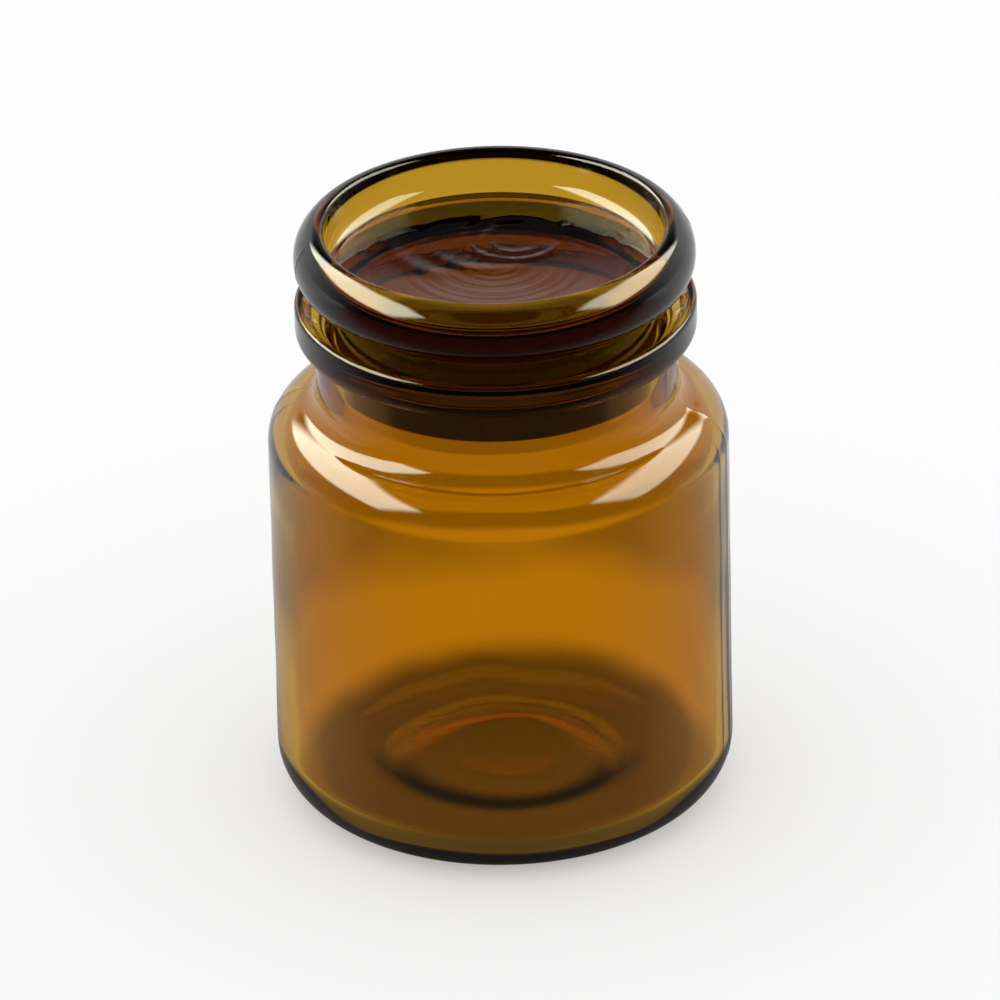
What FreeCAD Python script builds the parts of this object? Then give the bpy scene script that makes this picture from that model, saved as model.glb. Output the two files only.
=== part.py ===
"""Amber glass reagent bottle with a solid glass stopper.

Both pieces are turned about the Z axis. The origin is on the table, under the middle of the base.
The stopper's plug takes its size from the neck's bore, so the pair still fits when a size changes.
"""
import math
import os

import FreeCAD, Part
import Sketcher

doc = FreeCAD.newDocument("reagent_bottle")

# Driving dimensions, in millimetres and degrees
DRIVING_SIZES = {
    # Bottle
    "body_diameter": 60.0,
    "body_wall": 2.4,
    "heel_radius": 6.75,
    "base_thickness": 3.0,
    "push_up_diameter": 30.8,
    "push_up_crown_diameter": 18.0,
    "push_up_height": 2.4,
    "push_up_crown_rounding": 12.0,
    "push_up_foot_rounding": 7.0,
    "shoulder_height": 54.2,
    "shoulder_slope": 14.0,
    "shoulder_radius": 5.5,
    "neck_diameter": 47.0,
    "neck_wall": 2.6,
    "neck_length": 9.3,
    "neck_root_radius": 2.9,
    "lip_height": 5.0,
    "lip_overhang": 2.47,
    "lip_land": 1.1,
    "lip_edge_radius": 0.6,
    "lip_inner_edge_radius": 0.4,
    "lip_under_radius": 1.7,
    "lip_root_radius": 0.6,
    "flare_depth": 4.6,
    "flare_root_radius": 2.0,
    # Seat between the two pieces
    "seat_half_angle": 2.86,
    "seat_clearance": 0.08,
    # Stopper, with its heights counted from the bottle's mouth
    "plug_reach": 10.35,
    "plug_tip_rounding": 1.1,
    "plug_root_rounding": 0.6,
    "cap_gap": 1.0,
    "cap_height": 9.25,
    "cap_overhang": 4.8,
    "cap_under_slope": 30.0,
    "cap_under_radius": 3.7,
    "cap_side_radius": 4.6,
    "cap_edge_drop": 2.1,
    "cap_edge_lean": 46.0,
    "cap_edge_radius": 2.2,
    "rim_width": 3.9,
    "rim_inner_radius": 0.58,
    "dish_depth": 5.3,
    "dish_draft": 2.0,
    "dish_corner_radius": 2.0,
    # The most that a rounding may take of a short edge that it shares with another
    "shoulder_share": 0.65,
    "neck_root_share": 0.34,
    "lip_under_share": 0.7,
    "lip_root_share": 0.25,
    "lip_edge_share": 0.55,
    "lip_inner_edge_share": 0.4,
    "inner_shoulder_share": 0.36,
    "bore_root_share": 0.6,
}

# Sizes that follow from the driving ones. The corners of the two sections below are named from these.
FOLLOWING_SIZES = {
    # Bottle, outside
    "body_radius": "body_diameter / 2",
    "push_up_radius": "push_up_diameter / 2",
    "push_up_crown_radius": "push_up_crown_diameter / 2",
    "neck_radius": "neck_diameter / 2",
    "shoulder_step": "body_radius - neck_radius",
    "neck_root_height": "shoulder_height + shoulder_step * tan(shoulder_slope)",
    "shoulder_room": "shoulder_step / cos(shoulder_slope) / tan(45 - shoulder_slope / 2)",
    "shoulder_rounding": "min(shoulder_radius; shoulder_share * shoulder_room)",
    "neck_root_rounding": "min(neck_root_radius; neck_root_share * shoulder_room)",
    "lip_underside": "neck_root_height + neck_length",
    "mouth_height": "lip_underside + lip_height",
    "lip_radius": "neck_radius + lip_overhang",
    "lip_under_rounding": "min(lip_under_radius; lip_under_share * lip_overhang)",
    "lip_root_rounding": "min(lip_root_radius; lip_root_share * lip_overhang)",
    "lip_edge_rounding": "min(lip_edge_radius; lip_edge_share * lip_land)",
    "lip_inner_edge_rounding": "min(lip_inner_edge_radius; lip_inner_edge_share * lip_land)",
    # Bottle, inside
    "flare_radius": "lip_radius - lip_land",
    "flare_root_height": "mouth_height - flare_depth",
    "bore_radius": "neck_radius - neck_wall",
    "shoulder_depth": "body_wall / cos(shoulder_slope)",
    "bore_root_height": "neck_root_height + neck_wall * tan(shoulder_slope) - shoulder_depth",
    "bore_root_radius": "bore_radius - (flare_root_height - bore_root_height) * tan(seat_half_angle)",
    "inner_radius": "body_radius - body_wall",
    "inner_shoulder_height": "shoulder_height + body_wall * tan(shoulder_slope) - shoulder_depth",
    "inner_step": "inner_radius - bore_root_radius",
    "inner_room": "inner_step / cos(shoulder_slope) / tan(45 - shoulder_slope / 2)",
    "inner_shoulder_radius": "max(shoulder_radius - body_wall; body_wall / 2)",
    "inner_shoulder_rounding": "min(inner_shoulder_radius; inner_shoulder_share * inner_room)",
    "bore_root_rounding": "min(neck_root_radius + neck_wall; bore_root_share * inner_room)",
    "inner_heel_rounding": "max(heel_radius - body_wall; body_wall / 2)",
    "floor_foot_rounding": "max(push_up_foot_rounding - base_thickness; base_thickness / 2)",
    "floor_crown_rounding": "push_up_crown_rounding + base_thickness",
    "floor_crown_height": "push_up_height + base_thickness",
    # Stopper
    "plug_seat_radius": "bore_radius - seat_clearance",
    "plug_tip_height": "0 - plug_reach",
    "plug_tip_radius": "plug_seat_radius - (plug_reach - flare_depth) * tan(seat_half_angle)",
    "plug_root_radius": "plug_seat_radius + (flare_depth + cap_gap) * tan(seat_half_angle)",
    "cap_radius": "plug_root_radius + cap_overhang",
    "cap_under_height": "cap_gap + cap_overhang * tan(cap_under_slope)",
    "crest_height": "cap_gap + cap_height",
    "cap_edge_height": "crest_height - cap_edge_drop",
    "cap_edge_inset_radius": "cap_radius - cap_edge_drop * tan(cap_edge_lean)",
    "rim_inner_wall_radius": "cap_radius - rim_width",
    "dish_floor_height": "crest_height - dish_depth",
    "dish_floor_radius": "rim_inner_wall_radius - dish_depth * tan(dish_draft)",
}

sheet = doc.addObject("Spreadsheet::Sheet", "Sizes")
for row, (alias, number) in enumerate(DRIVING_SIZES.items(), start=1):
    sheet.set(f"A{row}", alias)
    sheet.set(f"B{row}", str(number))
    sheet.setAlias(f"B{row}", alias)
for row, (alias, formula) in enumerate(FOLLOWING_SIZES.items(), start=1):
    sheet.set(f"D{row}", alias)
    sheet.set(f"E{row}", f"={formula}")
    sheet.setAlias(f"E{row}", alias)
doc.recompute()


def size(alias):
    """The number in a named cell, or nought where a corner lies on an axis and has no name."""
    return float(sheet.get(alias)) if alias else 0.0


def bind(sketch, constraint, alias):
    """Add a dimension to a sketch and tie it to a named cell."""
    index = sketch.addConstraint(constraint)
    sketch.setExpression(f"Constraints[{index}]", f"{sheet.Name}.{alias}")


def draw_section(body, name, corners):
    """Draw a closed half section of a turned piece, with its first and last corners on the axis.

    A corner is its radius, its height and its rounding, each the name of a cell. No radius puts it on
    the axis, no height puts it on the table and no rounding leaves it sharp.
    """
    origin = (-1, 1)
    table, axis = -1, -2
    start, end = 1, 2
    normal = FreeCAD.Vector(0, 0, 1)
    sketch = body.newObject("Sketcher::SketchObject", name)
    planes = {plane.Role: plane for plane in body.Origin.OriginFeatures}
    sketch.AttachmentSupport = [(planes["XZ_Plane"], "")]
    sketch.MapMode = "FlatFace"

    # The corners, the way each edge runs, and where each rounding begins and ends
    points = [FreeCAD.Vector(size(radius), size(height), 0) for radius, height, rounding in corners]
    count = len(points)
    ways = [(points[(i + 1) % count] - points[i]).normalize() for i in range(count)]
    arrivals = list(points)
    departures = list(points)
    for i, (radius, height, rounding) in enumerate(corners):
        if rounding:
            setback = size(rounding) * math.tan(ways[i - 1].getAngle(ways[i]) / 2)
            arrivals[i] = points[i] - ways[i - 1] * setback
            departures[i] = points[i] + ways[i] * setback

    # The straight edges, each from the end of one rounding to the beginning of the next
    edges = []
    for i in range(count):
        line = Part.LineSegment(departures[i], arrivals[(i + 1) % count])
        edges.append(sketch.addGeometry(line))

    # The roundings, and the dimensions that hold each corner
    for i, (radius, height, rounding) in enumerate(corners):
        edge_in, edge_out = edges[i - 1], edges[i]
        if rounding:
            turns_left = ways[i - 1].cross(ways[i]).z > 0
            inward = normal.cross(ways[i - 1]) * (1 if turns_left else -1)
            centre = arrivals[i] + inward * size(rounding)
            ends = (arrivals[i] - centre, departures[i] - centre)
            angles = [math.atan2(spoke.y, spoke.x) for spoke in ends]
            first, last = angles if turns_left else reversed(angles)
            circle = Part.Circle(centre, normal, size(rounding))
            arc = sketch.addGeometry(Part.ArcOfCircle(circle, first, last))
            arc_in, arc_out = (start, end) if turns_left else (end, start)
            sketch.addConstraint(Sketcher.Constraint("Tangent", edge_in, end, arc, arc_in))
            sketch.addConstraint(Sketcher.Constraint("Tangent", arc, arc_out, edge_out, start))
            bind(sketch, Sketcher.Constraint("Radius", arc, size(rounding)), rounding)
            corner = (sketch.addGeometry(Part.Point(points[i]), True), start)
            sketch.addConstraint(Sketcher.Constraint("PointOnObject", *corner, edge_in))
            sketch.addConstraint(Sketcher.Constraint("PointOnObject", *corner, edge_out))
        else:
            corner = (edge_out, start)
            sketch.addConstraint(Sketcher.Constraint("Coincident", edge_in, end, *corner))
        if radius:
            bind(sketch, Sketcher.Constraint("DistanceX", *origin, *corner, points[i].x), radius)
        else:
            sketch.addConstraint(Sketcher.Constraint("PointOnObject", *corner, axis))
        if height:
            bind(sketch, Sketcher.Constraint("DistanceY", *origin, *corner, points[i].y), height)
        else:
            sketch.addConstraint(Sketcher.Constraint("PointOnObject", *corner, table))
    return sketch


def turn_section(body, name, sketch):
    """Turn a half section once round the axis."""
    glass = body.newObject("PartDesign::Revolution", name)
    glass.Profile = sketch
    glass.ReferenceAxis = (sketch, ["V_Axis"])
    glass.Angle = 360


# Bottle: up the outside from the pushed-up base to the lip, then down the mouth, the bore and the inside
bottle = doc.addObject("PartDesign::Body", "bottle")
bottle.Label = "bottle"
bottle_section = draw_section(bottle, "bottle_section", [
    (None, "push_up_height", None),
    ("push_up_crown_radius", "push_up_height", "push_up_crown_rounding"),
    ("push_up_radius", None, "push_up_foot_rounding"),
    ("body_radius", None, "heel_radius"),
    ("body_radius", "shoulder_height", "shoulder_rounding"),
    ("neck_radius", "neck_root_height", "neck_root_rounding"),
    ("neck_radius", "lip_underside", "lip_root_rounding"),
    ("lip_radius", "lip_underside", "lip_under_rounding"),
    ("lip_radius", "mouth_height", "lip_edge_rounding"),
    ("flare_radius", "mouth_height", "lip_inner_edge_rounding"),
    ("bore_radius", "flare_root_height", "flare_root_radius"),
    ("bore_root_radius", "bore_root_height", "bore_root_rounding"),
    ("inner_radius", "inner_shoulder_height", "inner_shoulder_rounding"),
    ("inner_radius", "base_thickness", "inner_heel_rounding"),
    ("push_up_radius", "base_thickness", "floor_foot_rounding"),
    ("push_up_crown_radius", "floor_crown_height", "floor_crown_rounding"),
    (None, "floor_crown_height", None),
])
turn_section(bottle, "bottle_glass", bottle_section)

# Stopper: across the flat end of its plug, up the plug and the cap, and into the dish
stopper = doc.addObject("PartDesign::Body", "stopper")
stopper.Label = "stopper"
stopper_section = draw_section(stopper, "stopper_section", [
    (None, "plug_tip_height", None),
    ("plug_tip_radius", "plug_tip_height", "plug_tip_rounding"),
    ("plug_root_radius", "cap_gap", "plug_root_rounding"),
    ("cap_radius", "cap_under_height", "cap_under_radius"),
    ("cap_radius", "cap_edge_height", "cap_side_radius"),
    ("cap_edge_inset_radius", "crest_height", "cap_edge_radius"),
    ("rim_inner_wall_radius", "crest_height", "rim_inner_radius"),
    ("dish_floor_radius", "dish_floor_height", "dish_corner_radius"),
    (None, "dish_floor_height", None),
])
turn_section(stopper, "stopper_glass", stopper_section)
stopper.setExpression("Placement.Base.z", f"{sheet.Name}.mouth_height")
doc.recompute()

# Nothing is written unless every object and both pieces are sound
for item in doc.Objects:
    if "Invalid" in item.State or "Error" in item.State:
        raise RuntimeError(f"{item.Name} failed: {item.State}")
for sketch in (bottle_section, stopper_section):
    if not sketch.FullyConstrained:
        raise RuntimeError(f"{sketch.Name} is not fully constrained")
pieces = [bottle, stopper]
for piece in pieces:
    if piece.Shape.isNull() or not piece.Shape.isValid() or len(piece.Shape.Solids) != 1:
        raise RuntimeError(f"{piece.Label} is not one valid solid")

os.makedirs("parts", exist_ok=True)
for piece in pieces:
    piece.Shape.exportStep(f"parts/{piece.Label}.step")
    box = piece.Shape.optimalBoundingBox()
    print(f"{piece.Label}: {piece.Shape.Volume:.0f} cubic mm, {box.ZMin:.2f} to {box.ZMax:.2f} mm high")
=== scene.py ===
import math

import bpy
import numpy as np
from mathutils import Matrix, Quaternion, Vector


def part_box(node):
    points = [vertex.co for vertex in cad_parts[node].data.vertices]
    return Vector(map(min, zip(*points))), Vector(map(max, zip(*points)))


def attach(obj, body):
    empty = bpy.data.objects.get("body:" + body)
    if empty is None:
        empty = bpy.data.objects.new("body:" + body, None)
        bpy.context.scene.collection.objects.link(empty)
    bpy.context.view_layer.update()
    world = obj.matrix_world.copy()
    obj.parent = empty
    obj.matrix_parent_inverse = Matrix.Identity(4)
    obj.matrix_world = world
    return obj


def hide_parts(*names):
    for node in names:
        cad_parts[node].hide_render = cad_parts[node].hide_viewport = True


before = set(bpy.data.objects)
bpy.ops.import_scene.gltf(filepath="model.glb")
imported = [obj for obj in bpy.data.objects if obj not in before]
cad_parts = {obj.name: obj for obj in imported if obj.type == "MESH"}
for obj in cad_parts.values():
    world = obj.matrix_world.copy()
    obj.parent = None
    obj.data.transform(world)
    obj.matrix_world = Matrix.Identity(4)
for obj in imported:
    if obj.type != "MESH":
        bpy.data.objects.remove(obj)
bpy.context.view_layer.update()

# Bottle: one piece of amber glass, blown in a mould of two halves and finished at the mouth by turning.
# It stands on a flat ring round its pushed-up base, and the bore of its short neck tapers for the stopper.
# The half section is drawn over the base, up the outside, over the lip and down the inside, then turned.
MM = 0.001
_, bottle_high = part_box("bottle")
body_radius = bottle_high.x
mouth_height = bottle_high.z
body_wall = 2.4 * MM
heel_rounding = 6.75 * MM
base_thickness = 3.0 * MM
push_up_radius = 15.4 * MM
push_up_crown_radius = 9.0 * MM
push_up_height = 2.4 * MM
push_up_crown_rounding = 12.0 * MM
push_up_foot_rounding = 7.0 * MM
shoulder_height = 54.2 * MM
shoulder_slope = math.radians(14)
shoulder_rounding = 5.5 * MM
neck_radius = 23.5 * MM
neck_wall = 2.6 * MM
neck_root_rounding = 2.9 * MM
lip_height = 5.0 * MM
lip_radius = neck_radius + 2.47 * MM
lip_land = 1.1 * MM
lip_edge_rounding = 0.6 * MM
lip_inner_rounding = 0.4 * MM
lip_under_rounding = 1.7 * MM
lip_root_rounding = 0.6 * MM
flare_depth = 4.6 * MM
flare_rounding = 2.0 * MM
seat_half_angle = math.radians(2.86)
neck_root = shoulder_height + (body_radius - neck_radius) * math.tan(shoulder_slope)
lip_underside = mouth_height - lip_height
bore_radius = neck_radius - neck_wall
flare_root = mouth_height - flare_depth
shoulder_depth = body_wall / math.cos(shoulder_slope)
bore_root = neck_root + neck_wall * math.tan(shoulder_slope) - shoulder_depth
bore_root_radius = bore_radius - (flare_root - bore_root) * math.tan(seat_half_angle)
inner_radius = body_radius - body_wall
inner_shoulder = shoulder_height + body_wall * math.tan(shoulder_slope) - shoulder_depth
floor_crown = push_up_height + base_thickness
bottle_corners = [
    (0, push_up_height, 0),
    (push_up_crown_radius, push_up_height, push_up_crown_rounding),
    (push_up_radius, 0, push_up_foot_rounding),
    (body_radius, 0, heel_rounding),
    (body_radius, shoulder_height, shoulder_rounding),
    (neck_radius, neck_root, neck_root_rounding),
    (neck_radius, lip_underside, lip_root_rounding),
    (lip_radius, lip_underside, lip_under_rounding),
    (lip_radius, mouth_height, lip_edge_rounding),
    (lip_radius - lip_land, mouth_height, lip_inner_rounding),
    (bore_radius, flare_root, flare_rounding),
    (bore_root_radius, bore_root, neck_root_rounding + neck_wall),
    (inner_radius, inner_shoulder, shoulder_rounding - body_wall),
    (inner_radius, base_thickness, heel_rounding - body_wall),
    (push_up_radius, base_thickness, push_up_foot_rounding - base_thickness),
    (push_up_crown_radius, floor_crown, push_up_crown_rounding + base_thickness),
    (0, floor_crown, 0),
]
arc_step = math.radians(5)
wall_spacing = 1.2 * MM
weld_distance = MM / 1000
# Turned clockwise from +X as sweeps in degrees and their steps, with a fine stretch at each mould seam
bottle_sweeps = [(8.8, 5), (2.4, 8), (177.6, 105), (2.4, 8), (168.8, 100)]
bottle_seams = [math.radians(-10), math.radians(170)]


def draw_section(name, corners, spacing):
    """Draw a half section from axis to axis, by extruding one vertex and spinning it round the corners."""
    points = [Vector((radius, 0, height)) for radius, height, rounding in corners]
    bpy.ops.object.select_all(action="DESELECT")
    bpy.ops.mesh.primitive_plane_add(size=MM)
    piece = bpy.context.object
    piece.name = name
    piece.data.name = name
    bpy.ops.object.mode_set(mode="EDIT")
    bpy.ops.mesh.select_all(action="SELECT")
    bpy.ops.mesh.merge(type="CENTER")
    bpy.ops.transform.translate(value=points[0])
    pen = points[0]
    for before, corner, after, (_, _, rounding) in zip(points, points[1:], points[2:], corners[1:]):
        way_in = (corner - before).normalized()
        way_out = (after - corner).normalized()
        turn = math.atan2(way_in.x * way_out.z - way_in.z * way_out.x, way_in.dot(way_out))
        setback = rounding * math.tan(abs(turn) / 2)
        arrival = corner - way_in * setback
        extrude_run(pen, arrival, spacing)
        inward = Vector((-way_in.z, 0, way_in.x)) * math.copysign(rounding, turn)
        steps = max(math.ceil(abs(turn) / arc_step), math.ceil(abs(turn) * rounding / spacing))
        bpy.ops.mesh.spin(steps=steps, angle=turn, center=arrival + inward, axis=(0, 1, 0))
        pen = corner + way_out * setback
    extrude_run(pen, points[-1], spacing)
    return piece


def extrude_run(start, finish, spacing):
    """Extrude the last vertex of the section along a straight stretch."""
    count = max(1, math.ceil((finish - start).length / spacing))
    step = (finish - start) / count
    for _ in range(count):
        bpy.ops.mesh.extrude_region_move(TRANSFORM_OT_translate={"value": step})


def turn_section(sweeps):
    """Spin the section once round the axis, sweep after sweep, close its seam and poles, and smooth it."""
    bpy.ops.mesh.select_all(action="SELECT")
    for degrees, steps in sweeps:
        bpy.ops.mesh.spin(steps=steps, angle=math.radians(degrees), center=(0, 0, 0), axis=(0, 0, 1))
    bpy.ops.mesh.select_all(action="SELECT")
    bpy.ops.mesh.remove_doubles(threshold=weld_distance)
    bpy.ops.mesh.normals_make_consistent(inside=False)
    bpy.ops.object.mode_set(mode="OBJECT")
    bpy.ops.object.shade_smooth()


def measure(piece):
    """The radius, height and turn of each vertex, and how far its normal points outwards and upwards."""
    count = len(piece.data.vertices)
    places = np.zeros(count * 3)
    normals = np.zeros(count * 3)
    piece.data.vertices.foreach_get("co", places)
    piece.data.vertices.foreach_get("normal", normals)
    x, y, height = places.reshape(count, 3).T
    normal_x, normal_y, upward = normals.reshape(count, 3).T
    radius = np.hypot(x, y)
    outward = (normal_x * x + normal_y * y) / np.maximum(radius, weld_distance)
    return x, y, height, radius, np.arctan2(y, x), outward, upward


def push_out(piece, name, weights, depth, texture=None, middle=0.0):
    """Move the weighted vertices along their normals by a depth, or by a cloudy texture of that depth."""
    group = piece.vertex_groups.new(name=name)
    levels = 40
    for level in range(1, levels + 1):
        members = np.nonzero(np.round(weights * levels) == level)[0].tolist()
        group.add(members, level / levels, "REPLACE")
    bump = piece.modifiers.new(name, "DISPLACE")
    bump.vertex_group = name
    bump.strength = depth
    bump.mid_level = middle
    bump.texture = texture
    bump.texture_coords = "LOCAL"
    bpy.ops.object.modifier_apply(modifier=name)


def rise(value, low, high):
    """A smooth step from nought at the low end to one at the high end."""
    share = np.clip((value - low) / (high - low), 0, 1)
    return share * share * (3 - 2 * share)


def seam_ridge(turn, radius, seams, half_width):
    """A narrow ridge along each seam, one on its line and falling to nought on both sides."""
    ridge = np.zeros_like(turn)
    for seam in seams:
        away = radius * np.sin(turn - seam)
        near = np.cos(turn - seam) > 0
        ridge = np.maximum(ridge, near * np.exp(-(away / half_width) ** 2))
    return ridge


# Each detail fades over a stretch, given as its low and high end
outward_facing = (0.02, 0.2)
heel_fade = (2 * MM, 7 * MM)
lip_fade = (lip_underside - 2.5 * MM, lip_underside - 0.8 * MM)
bottle_seam_half_width = 0.45 * MM
bottle_seam_height = 0.05 * MM
bottle = draw_section("bottle_glass", bottle_corners, wall_spacing)
turn_section(bottle_sweeps)
x, y, height, radius, turn, outward, upward = measure(bottle)
outside = rise(outward, *outward_facing) * rise(height, *heel_fade)
below_lip = 1 - rise(height, *lip_fade)
bottle_ridges = seam_ridge(turn, radius, bottle_seams, bottle_seam_half_width)
push_out(bottle, "mould_seam", outside * below_lip * bottle_ridges, bottle_seam_height)

# The wall inside is uneven, as blown glass is, and the outside has a slight ripple under the shoulder
inward_facing = (0.1, 0.4)
inner_floor_top = 12 * MM
inner_wall_slack = 0.4 * MM
inner_shoulder_fade = (44 * MM, 51 * MM)
wall_unevenness = 0.4 * MM
both_ways = 0.5
wall_clouds = bpy.data.textures.new("wall_clouds", "CLOUDS")
wall_clouds.noise_scale = 24 * MM
wall_clouds.noise_depth = 1
x, y, height, radius, turn, outward, upward = measure(bottle)
inner_floor = rise(upward, *inward_facing) * (height < inner_floor_top)
inner_wall = np.maximum(rise(-outward, *inward_facing), inner_floor)
inside = inner_wall * (radius < inner_radius + inner_wall_slack) * (1 - rise(height, *inner_shoulder_fade))
push_out(bottle, "blown_wall", inside, wall_unevenness, wall_clouds, both_ways)
skin_heel_fade = (8 * MM, 20 * MM)
skin_shoulder_fade = (56 * MM, 60 * MM)
skin_ripple_depth = 0.14 * MM
inwards_only = 1.0
skin_clouds = bpy.data.textures.new("skin_clouds", "CLOUDS")
skin_clouds.noise_scale = 9 * MM
skin_clouds.noise_depth = 0
skin = outside * rise(height, *skin_heel_fade) * (1 - rise(height, *skin_shoulder_fade))
push_out(bottle, "skin_ripple", skin, skin_ripple_depth, skin_clouds, inwards_only)

# The glass is tinted at its surface and darkens with depth, and faint smears dull its gloss
glass_tint = (0.915, 0.595, 0.05, 1)
glass_index = 1.52
deep_glass_colour = (0.583, 0.4, 0.0, 1)
deep_glass_density = 180
smear_scale = 130
smear_detail = 4
smear_start = 0.5
smear_end = 0.8
smear_roughness = 0.06
amber = bpy.data.materials.new("amber_glass")
amber.use_nodes = True
nodes = amber.node_tree.nodes
links = amber.node_tree.links
glass = nodes["Principled BSDF"]
glass.inputs["Base Color"].default_value = glass_tint
glass.inputs["Transmission Weight"].default_value = 1
glass.inputs["IOR"].default_value = glass_index
depth_tint = nodes.new("ShaderNodeVolumeAbsorption")
depth_tint.inputs["Color"].default_value = deep_glass_colour
depth_tint.inputs["Density"].default_value = deep_glass_density
links.new(depth_tint.outputs["Volume"], nodes["Material Output"].inputs["Volume"])
place = nodes.new("ShaderNodeTexCoord")
smears = nodes.new("ShaderNodeTexNoise")
smears.inputs["Scale"].default_value = smear_scale
smears.inputs["Detail"].default_value = smear_detail
links.new(place.outputs["Object"], smears.inputs["Vector"])
polish = nodes.new("ShaderNodeMapRange")
polish.inputs["From Min"].default_value = smear_start
polish.inputs["From Max"].default_value = smear_end
polish.inputs["To Min"].default_value = 0.0
polish.inputs["To Max"].default_value = smear_roughness
links.new(smears.outputs["Fac"], polish.inputs["Value"])
links.new(polish.outputs["Result"], glass.inputs["Roughness"])
bottle.data.materials.append(amber)
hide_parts("bottle")
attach(bottle, "bottle")

# Stopper: one pressed piece of the same glass, a dished cap with a rolled rim over a solid tapered plug.
# The plug hangs in the neck's bore with a hair of air round it, and the whole piece lifts straight out.
# The press left a ring and some swirls in the floor of the dish, and a seam on each side of the cap.
stopper_low, stopper_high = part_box("stopper")
seat_clearance = 0.08 * MM
plug_tip_rounding = 1.1 * MM
plug_root_rounding = 0.6 * MM
cap_gap = 1.0 * MM
cap_overhang = 4.8 * MM
cap_under_slope = math.radians(30)
cap_under_rounding = 3.7 * MM
cap_side_rounding = 4.6 * MM
cap_edge_drop = 2.1 * MM
cap_edge_lean = math.radians(46)
cap_edge_rounding = 2.2 * MM
rim_width = 3.9 * MM
rim_inner_rounding = 0.58 * MM
dish_depth = 5.3 * MM
dish_draft = math.radians(2)
dish_corner_rounding = 2.0 * MM
crest = stopper_high.z
plug_tip = stopper_low.z
plug_root = mouth_height + cap_gap
plug_tip_radius = bore_radius - seat_clearance - (flare_root - plug_tip) * math.tan(seat_half_angle)
plug_root_radius = plug_tip_radius + (plug_root - plug_tip) * math.tan(seat_half_angle)
cap_radius = plug_root_radius + cap_overhang
rim_inner_radius = cap_radius - rim_width
dish_floor = crest - dish_depth
dish_floor_radius = rim_inner_radius - dish_depth * math.tan(dish_draft)
stopper_corners = [
    (0, plug_tip, 0),
    (plug_tip_radius, plug_tip, plug_tip_rounding),
    (plug_root_radius, plug_root, plug_root_rounding),
    (cap_radius, plug_root + cap_overhang * math.tan(cap_under_slope), cap_under_rounding),
    (cap_radius, crest - cap_edge_drop, cap_side_rounding),
    (cap_radius - cap_edge_drop * math.tan(cap_edge_lean), crest, cap_edge_rounding),
    (rim_inner_radius, crest, rim_inner_rounding),
    (dish_floor_radius, dish_floor, dish_corner_rounding),
    (0, dish_floor, 0),
]
stopper_spacing = 0.35 * MM
stopper_sweeps = [(169.8, 100), (2.4, 8), (177.6, 105), (2.4, 8), (7.8, 5)]
stopper_seams = [math.radians(9), math.radians(189)]
stopper_seam_half_width = 0.35 * MM
stopper_seam_height = 0.06 * MM
cap_under_fade = (plug_root + 1.5 * MM, plug_root + 3 * MM)
cap_crest_fade = (crest - 1.5 * MM, crest - 0.5 * MM)
stopper = draw_section("stopper_glass", stopper_corners, stopper_spacing)
turn_section(stopper_sweeps)
x, y, height, radius, turn, outward, upward = measure(stopper)
cap_side = rise(outward, *outward_facing) * rise(height, *cap_under_fade)
cap_side *= 1 - rise(height, *cap_crest_fade)
stopper_ridges = seam_ridge(turn, radius, stopper_seams, stopper_seam_half_width)
push_out(stopper, "mould_seam", cap_side * stopper_ridges, stopper_seam_height)

# Ring and swirls left by the press: centre, radius and half width in mm, middle and half sweep in degrees
press_marks = [
    (2.6, 7.6, 6.2, 0.7, 0, 720),
    (2.9, 7.4, 3.9, 0.8, 200, 150),
    (0.3, 7.9, 9.2, 1.2, 215, 90),
    (-1.5, 8.6, 12.4, 1.4, 190, 70),
]
mark_height = 0.035 * MM
mark_fade_start = 0.5
level_facing = (0.9, 0.99)
dish_flat_radius = dish_floor_radius - 2 * MM
dish_edge_fade = (dish_floor_radius - 5 * MM, dish_flat_radius)
dish_sag_depth = 0.45 * MM
dish_ripple_depth = 0.06 * MM
x, y, height, radius, turn, outward, upward = measure(stopper)
on_floor = rise(upward, *level_facing) * (radius < dish_flat_radius) * (height < dish_floor + MM)
marks = np.zeros_like(x)
for mark_x, mark_y, mark_radius, half_width, middle, half_sweep in press_marks:
    from_x = x - mark_x * MM
    from_y = y - mark_y * MM
    away = np.hypot(from_x, from_y) - mark_radius * MM
    bearing = np.degrees(np.arctan2(from_y, from_x)) - middle
    bearing = np.abs((bearing + 180) % 360 - 180)
    fade = 1 - rise(bearing, half_sweep * mark_fade_start, half_sweep)
    marks = np.maximum(marks, fade * np.exp(-(away / (half_width * MM)) ** 2))
push_out(stopper, "press_marks", on_floor * marks, mark_height)
sag = np.clip(1 - (radius / dish_flat_radius) ** 2, 0, 1)
push_out(stopper, "dish_sag", on_floor * sag, -dish_sag_depth)
dish_clouds = bpy.data.textures.new("dish_clouds", "CLOUDS")
dish_clouds.noise_scale = 11 * MM
dish_clouds.noise_depth = 1
edge_fade = 1 - rise(radius, *dish_edge_fade)
push_out(stopper, "dish_ripple", on_floor * edge_fade, dish_ripple_depth, dish_clouds, both_ways)
stopper.data.materials.append(amber)
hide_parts("stopper")
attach(stopper, "stopper")

# Floor: a wide sheet of white paper under the bottle, a hair below its bearing ring.
# Seen through the glass it has painted light and shade: shade under the base, a dark arc at the push-up's
# foot, a ring of light round the bottle, and shade farther out and in front. In the gloss it is painted
# darker towards the camera.
floor_reach = 4.0
floor_drop = 0.05 * MM
paper_white = 0.9
# The paper glows: through the glass with its painted light and shade, and a little in view, which keeps it
# white and lightens the bottle's shadow
paper_glow = 1.15
glow_through_glass = 0.75
glow_in_view = 0.36
# In the gloss the paper is painted darker towards the camera, along this stretch of Y between these levels
gloss_stretch = (-100 * MM, 140 * MM)
gloss_levels = (0.03, 0.75)
halo_reach = 100 * MM
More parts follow.
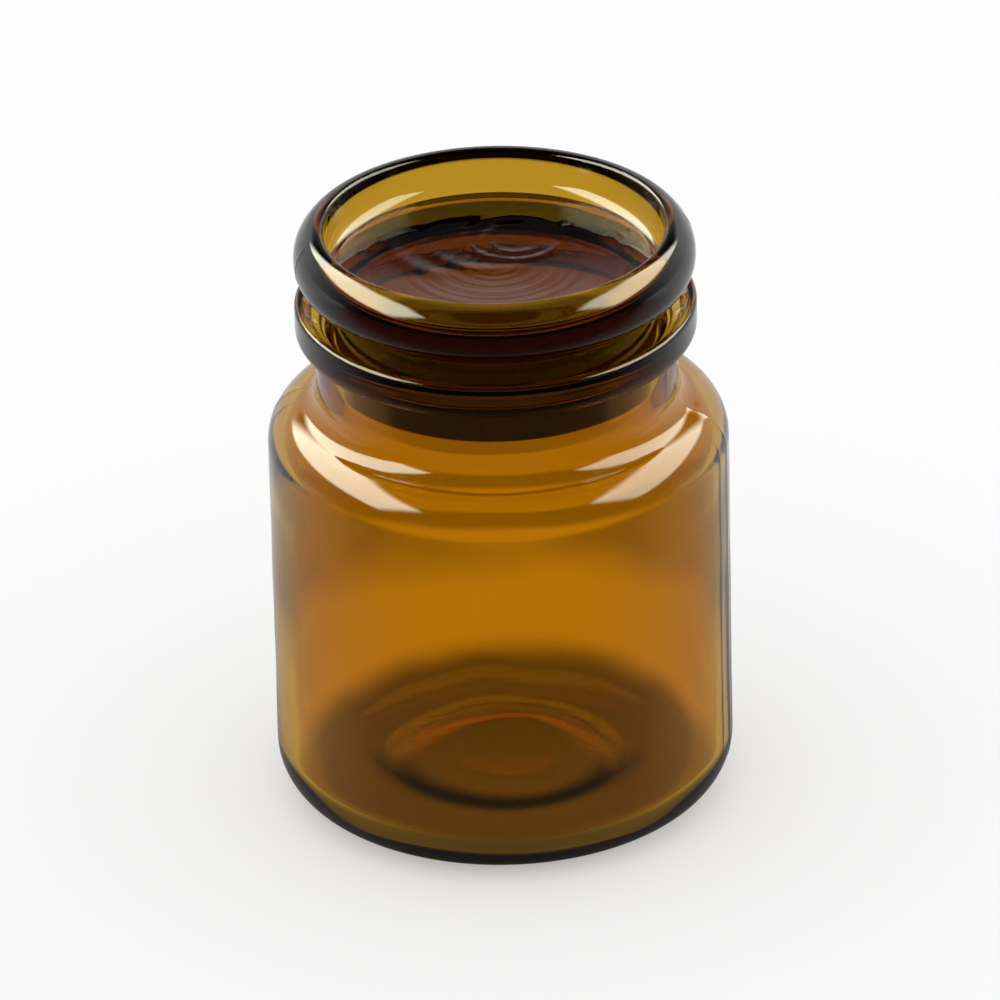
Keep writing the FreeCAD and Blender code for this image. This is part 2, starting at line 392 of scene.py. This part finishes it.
# The painted light and shade round the bottle, seen through the glass, as distances from its axis in mm and
# levels
painted_halo_stops = [(27, 0.24), (37, 0.82), (54, 0.8), (70, 0.42), (90, 0.4), (100, 0.66)]
# Painted shade on the paper in front of the bottle, and a painted dark arc at the foot of the push-up, seen
# through the glass
front_shade_stretch = (-36 * MM, -16 * MM)
front_shade_levels = (0.42, 1.0)
foot_set_back = 5.6 * MM
foot_half_width = 4.5 * MM
foot_end_stretch = (-5 * MM, 5 * MM)
off_to_on = (0.0, 1.0)


def ease(tree, value, stretch, levels):
    """Go smoothly from one level to another while a value goes from one end of a stretch to the other."""
    node = tree.nodes.new("ShaderNodeMapRange")
    node.interpolation_type = "SMOOTHSTEP"
    node.inputs["From Min"].default_value = stretch[0]
    node.inputs["From Max"].default_value = stretch[1]
    node.inputs["To Min"].default_value = levels[0]
    node.inputs["To Max"].default_value = levels[1]
    tree.links.new(value, node.inputs["Value"])
    return node.outputs["Result"]


def reckon(tree, operation, *values):
    """Put sockets and plain numbers through one sum, product or other step of arithmetic."""
    node = tree.nodes.new("ShaderNodeMath")
    node.operation = operation
    for slot, value in enumerate(values):
        if isinstance(value, bpy.types.NodeSocket):
            tree.links.new(value, node.inputs[slot])
        else:
            node.inputs[slot].default_value = value
    return node.outputs[0]


bpy.ops.object.select_all(action="DESELECT")
bpy.ops.mesh.primitive_plane_add(size=2 * floor_reach, location=(0, 0, -floor_drop))
floor = bpy.context.object
floor.name = "floor"
paper = bpy.data.materials.new("white_paper")
paper.use_nodes = True
tree = paper.node_tree
nodes = tree.nodes
links = tree.links
sheet = nodes["Principled BSDF"]
sheet.inputs["Roughness"].default_value = 1
sheet.inputs["Specular IOR Level"].default_value = 0
spot = nodes.new("ShaderNodeNewGeometry")
split = nodes.new("ShaderNodeSeparateXYZ")
links.new(spot.outputs["Position"], split.inputs[0])
from_axis = nodes.new("ShaderNodeVectorMath")
from_axis.operation = "LENGTH"
links.new(spot.outputs["Position"], from_axis.inputs[0])
# Painted light and shade on the paper as the glass shows it: a ring of light round the bottle, shade under
# the base and farther out
halo = nodes.new("ShaderNodeValToRGB")
halo.color_ramp.interpolation = "EASE"
halo.color_ramp.elements.remove(halo.color_ramp.elements[1])
for away, level in painted_halo_stops:
    stop = halo.color_ramp.elements.new(away * MM / halo_reach)
    stop.color = (level, level, level, 1)
halo.color_ramp.elements.remove(halo.color_ramp.elements[0])
links.new(reckon(tree, "DIVIDE", from_axis.outputs["Value"], halo_reach), halo.inputs["Fac"])
# Painted shade in front of the bottle
front_shade = ease(tree, split.outputs["Y"], front_shade_stretch, front_shade_levels)
behind = reckon(tree, "MULTIPLY", halo.outputs["Color"], front_shade)
# A painted dark arc at the foot of the push-up, in front, which fades out towards the back
from_foot = nodes.new("ShaderNodeVectorMath")
from_foot.operation = "DISTANCE"
from_foot.inputs[1].default_value = (0, foot_set_back, 0)
links.new(spot.outputs["Position"], from_foot.inputs[0])
beside_foot = reckon(tree, "SUBTRACT", from_foot.outputs["Value"], push_up_radius)
off_foot = reckon(tree, "ABSOLUTE", beside_foot)
foot_shade_line = ease(tree, off_foot, (0.0, foot_half_width), off_to_on)
foot_end = ease(tree, split.outputs["Y"], foot_end_stretch, off_to_on)
foot = reckon(tree, "MAXIMUM", foot_shade_line, foot_end)
painted_through_glass = reckon(tree, "MULTIPLY", behind, foot)
# In the gloss the paper is painted darker towards the camera; through the glass it takes the painted light
# and shade above
rays = nodes.new("ShaderNodeLightPath")
painted_gloss_tone = nodes.new("ShaderNodeMix")
painted_gloss_tone.data_type = "RGBA"
painted_gloss_tone.inputs["A"].default_value = (paper_white, paper_white, paper_white, 1)
links.new(rays.outputs["Is Glossy Ray"], painted_gloss_tone.inputs["Factor"])
links.new(ease(tree, split.outputs["Y"], gloss_stretch, gloss_levels), painted_gloss_tone.inputs["B"])
tone = nodes.new("ShaderNodeMix")
tone.data_type = "RGBA"
links.new(rays.outputs["Is Transmission Ray"], tone.inputs["Factor"])
links.new(painted_gloss_tone.outputs["Result"], tone.inputs["A"])
links.new(painted_through_glass, tone.inputs["B"])
links.new(tone.outputs["Result"], sheet.inputs["Base Color"])
# The paper glows in its tone, so that through the glass the glow carries the painted light and shade
glow = nodes.new("ShaderNodeEmission")
links.new(tone.outputs["Result"], glow.inputs["Color"])
glow.inputs["Strength"].default_value = paper_glow
in_view = reckon(tree, "MULTIPLY", rays.outputs["Is Camera Ray"], glow_in_view)
glowing = reckon(tree, "MULTIPLY_ADD", rays.outputs["Is Transmission Ray"], glow_through_glass, in_view)
lifted = nodes.new("ShaderNodeMixShader")
links.new(glowing, lifted.inputs["Fac"])
links.new(sheet.outputs["BSDF"], lifted.inputs[1])
links.new(glow.outputs["Emission"], lifted.inputs[2])
links.new(lifted.outputs["Shader"], nodes["Material Output"].inputs["Surface"])
floor.data.materials.append(paper)

# Studio: a large softbox on each side above the bottle, which shows only in its gloss, and a white surround.
# That gloss shows a dark ceiling and a surround that darkens towards the camera, as in a small light tent.
# Each softbox is given by its bearing and height angle in degrees, its width in metres and its watts.
softboxes = [("softbox_left", -105, 46, 1.8, 33.0), ("softbox_right", 108, 45, 1.45, 19.0)]
softbox_depth = 0.56
softbox_distance = 0.9
softbox_colour = (1.0, 0.98, 0.77)
softbox_edge = (0.0, 0.16)
softbox_middle = 0.5
for name, bearing, height_angle, width, watts in softboxes:
    softbox = bpy.data.lights.new(name, "AREA")
    softbox.shape = "RECTANGLE"
    softbox.size = width
    softbox.size_y = softbox_depth
    softbox.energy = watts
    softbox.color = softbox_colour
    softbox.use_nodes = True
    tree = softbox.node_tree
    patch = tree.nodes.new("ShaderNodeNewGeometry")
    sides = tree.nodes.new("ShaderNodeSeparateXYZ")
    tree.links.new(patch.outputs["Parametric"], sides.inputs[0])
    from_end = reckon(tree, "PINGPONG", sides.outputs["X"], softbox_middle)
    from_side = reckon(tree, "PINGPONG", sides.outputs["Y"], softbox_middle)
    across = ease(tree, from_end, softbox_edge, off_to_on)
    along = ease(tree, from_side, softbox_edge, off_to_on)
    fade = reckon(tree, "MULTIPLY", across, along)
    tree.links.new(fade, tree.nodes["Emission"].inputs["Strength"])
    stand = bpy.data.objects.new(name, softbox)
    bpy.context.scene.collection.objects.link(stand)
    stand.visible_diffuse = False
    stand.visible_transmission = False
    turn_about = math.radians(bearing)
    climb = math.tan(math.radians(height_angle))
    ahead = Vector((math.sin(turn_about), -math.cos(turn_about), climb)).normalized()
    stand.location = ahead * softbox_distance
    stand.rotation_euler = ahead.to_track_quat("Z", "Y").to_euler()

ceiling_stretch = (0.37, 0.475)
ceiling_levels = (1.0, 0.05)
surround_stretch = (-0.3, 0.8)
surround_levels = (0.03, 1.0)
fill_strength = 1.08
backdrop_strength = 1.0
world = bpy.data.worlds.new("studio")
bpy.context.scene.world = world
world.use_nodes = True
tree = world.node_tree
nodes = tree.nodes
links = tree.links
nodes.clear()
rays = nodes.new("ShaderNodeLightPath")
place = nodes.new("ShaderNodeTexCoord")
split = nodes.new("ShaderNodeSeparateXYZ")
links.new(place.outputs["Generated"], split.inputs[0])
ceiling = ease(tree, split.outputs["Z"], ceiling_stretch, ceiling_levels)
surround = ease(tree, split.outputs["Y"], surround_stretch, surround_levels)
gloss_light = nodes.new("ShaderNodeBackground")
links.new(reckon(tree, "MULTIPLY", ceiling, surround), gloss_light.inputs["Strength"])
fill_light = nodes.new("ShaderNodeBackground")
fill_light.inputs["Color"].default_value = (1, 1, 1, 1)
fill_light.inputs["Strength"].default_value = fill_strength
backdrop = nodes.new("ShaderNodeBackground")
backdrop.inputs["Color"].default_value = (1, 1, 1, 1)
backdrop.inputs["Strength"].default_value = backdrop_strength
seen = reckon(tree, "MAXIMUM", rays.outputs["Is Camera Ray"], rays.outputs["Is Transmission Ray"])
white = nodes.new("ShaderNodeMixShader")
links.new(seen, white.inputs["Fac"])
links.new(fill_light.outputs[0], white.inputs[1])
links.new(backdrop.outputs[0], white.inputs[2])
tent = nodes.new("ShaderNodeMixShader")
links.new(rays.outputs["Is Glossy Ray"], tent.inputs["Fac"])
links.new(white.outputs[0], tent.inputs[1])
links.new(gloss_light.outputs[0], tent.inputs[2])
surface = nodes.new("ShaderNodeOutputWorld")
links.new(tent.outputs[0], surface.inputs["Surface"])

# Camera: a long lens in front of the bottle and above it, with the slight tilt of the photograph.
# It stands on a circle about a point on the bottle's axis, and looks at a point a little higher.
camera_data = bpy.data.cameras.new("camera")
camera_data.lens = 346.2
camera_data.sensor_width = 36
camera = bpy.data.objects.new("camera", camera_data)
bpy.context.scene.collection.objects.link(camera)
elevation = math.radians(28.083)
distance = 1.2555
tilt = math.radians(-1.3)
orbit_height = 35 * MM
aim = Vector((0, 0, 40.4 * MM))
camera.location = (0, -distance * math.cos(elevation), orbit_height + distance * math.sin(elevation))
camera.rotation_mode = "QUATERNION"
look = (aim - camera.location).to_track_quat("-Z", "Y")
camera.rotation_quaternion = look @ Quaternion((0, 0, 1), tilt)
bpy.context.scene.camera = camera

scene = bpy.context.scene
scene.view_settings.view_transform = "Standard"
scene.cycles.max_bounces = 32
scene.cycles.transmission_bounces = 32
scene.cycles.glossy_bounces = 16
